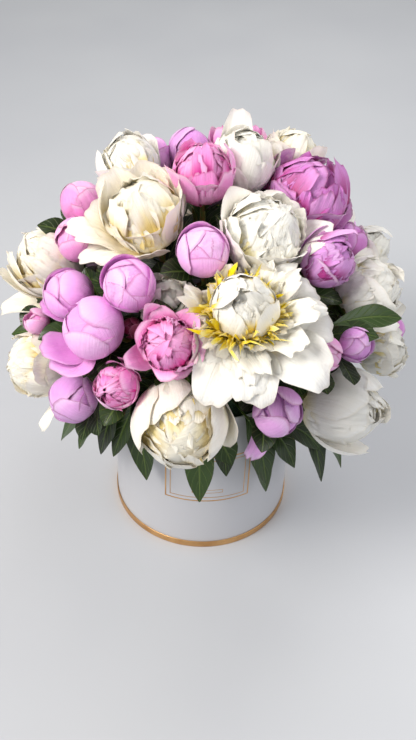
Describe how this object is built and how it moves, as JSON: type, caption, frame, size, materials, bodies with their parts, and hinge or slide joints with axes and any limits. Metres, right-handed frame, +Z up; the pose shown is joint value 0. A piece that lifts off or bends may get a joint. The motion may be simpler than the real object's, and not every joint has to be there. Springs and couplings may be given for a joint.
{
  "type": "bouquet of peonies in a hat box",
  "caption": "Dome of cut peonies with drooping leaf sprays, standing in floral foam in a lined round card hat box.",
  "frame": {"origin": "centre of the box's flat underside, on the surface it stands on", "axes": "+Z up along the box's axis, -Y towards the front of the box, +X to the right seen from the front"},
  "size_m": [0.4071, 0.4132, 0.4473],
  "materials": {
    "petals_white": "soft matt fresh petal",
    "petals_cream": "soft matt fresh petal",
    "petals_blush": "soft matt fresh petal",
    "petals_pink": "soft matt fresh petal",
    "petals_magenta": "soft matt fresh petal",
    "petals_mauve": "soft matt fresh petal",
    "petals_wine": "soft matt fresh petal",
    "leaf": "waxy green leaf and stem",
    "satin_card": "satin-laminated white card",
    "gold_foil": "warm gold foil, satin",
    "liner": "thin translucent liner",
    "foam": "open-cell floral foam, wet"
  },
  "bodies": {
    "root": {"base_tray": "gold_foil", "box_wall": "satin_card", "floral_foam": "foam", "leaf_spray_back_left": "leaf", "leaf_spray_back_right": "leaf", "leaf_spray_front": "leaf", "leaf_spray_front_left": "leaf", "leaf_spray_front_right": "leaf", "leaf_spray_right": "leaf", "liner": "liner", "peony_01_pink_double": "petals_pink", "peony_02_white_globe": "petals_white", "peony_03_cream_bomb": "petals_cream", "peony_04_white_bomb": "petals_white", "peony_05_white_globe": "petals_white", "peony_06_blush_ball": "petals_blush", "peony_07_mauve_bud": "petals_mauve", "peony_08_magenta_double": "petals_magenta", "peony_09_pink_rose": "petals_pink", "peony_10_cream_double": "petals_cream", "peony_11_blush_bud": "petals_blush", "peony_12_pink_bud": "petals_pink", "peony_13_white_open": "petals_white", "peony_14_mauve_double": "petals_mauve", "peony_15_pink_bud": "petals_pink", "peony_16_blush_ball": "petals_blush", "peony_17_cream_open": "petals_cream", "peony_18_magenta_bud": "petals_magenta", "peony_19_wine_tight": "petals_wine", "peony_20_blush_ball": "petals_blush", "peony_21_pink_rose": "petals_pink", "peony_22_cream_double": "petals_cream", "peony_23_blush_ball": "petals_blush", "peony_24_white_double": "petals_white", "peony_25_magenta_bud": "petals_magenta", "peony_26_white_open": "petals_white", "peony_27_blush_ball": "petals_blush", "peony_28_white_double": "petals_white", "peony_29_cream_bomb": "petals_cream", "peony_30_blush_ball": "petals_blush", "peony_31_pink_ball": "petals_pink", "peony_32_mauve_bud": "petals_mauve", "peony_33_mauve_double": "petals_mauve", "peony_34_pink_tight": "petals_pink", "peony_35_pink_cup": "petals_pink", "peony_36_mauve_bud": "petals_mauve", "peony_37_cream_globe": "petals_cream", "peony_38_mauve_bud": "petals_mauve", "peony_39_cream_double": "petals_cream", "peony_40_white_double": "petals_white", "peony_41_cream_double": "petals_cream", "peony_42_pink_double": "petals_pink", "peony_43_white_globe": "petals_white", "peony_44_white_globe": "petals_white", "peony_45_white_globe": "petals_white", "peony_46_magenta_bud": "petals_magenta", "peony_47_blush_double": "petals_blush", "peony_48_pink_bud": "petals_pink", "peony_49_blush_ball": "petals_blush", "peony_50_mauve_bud": "petals_mauve"}
  },
  "joints": []
}
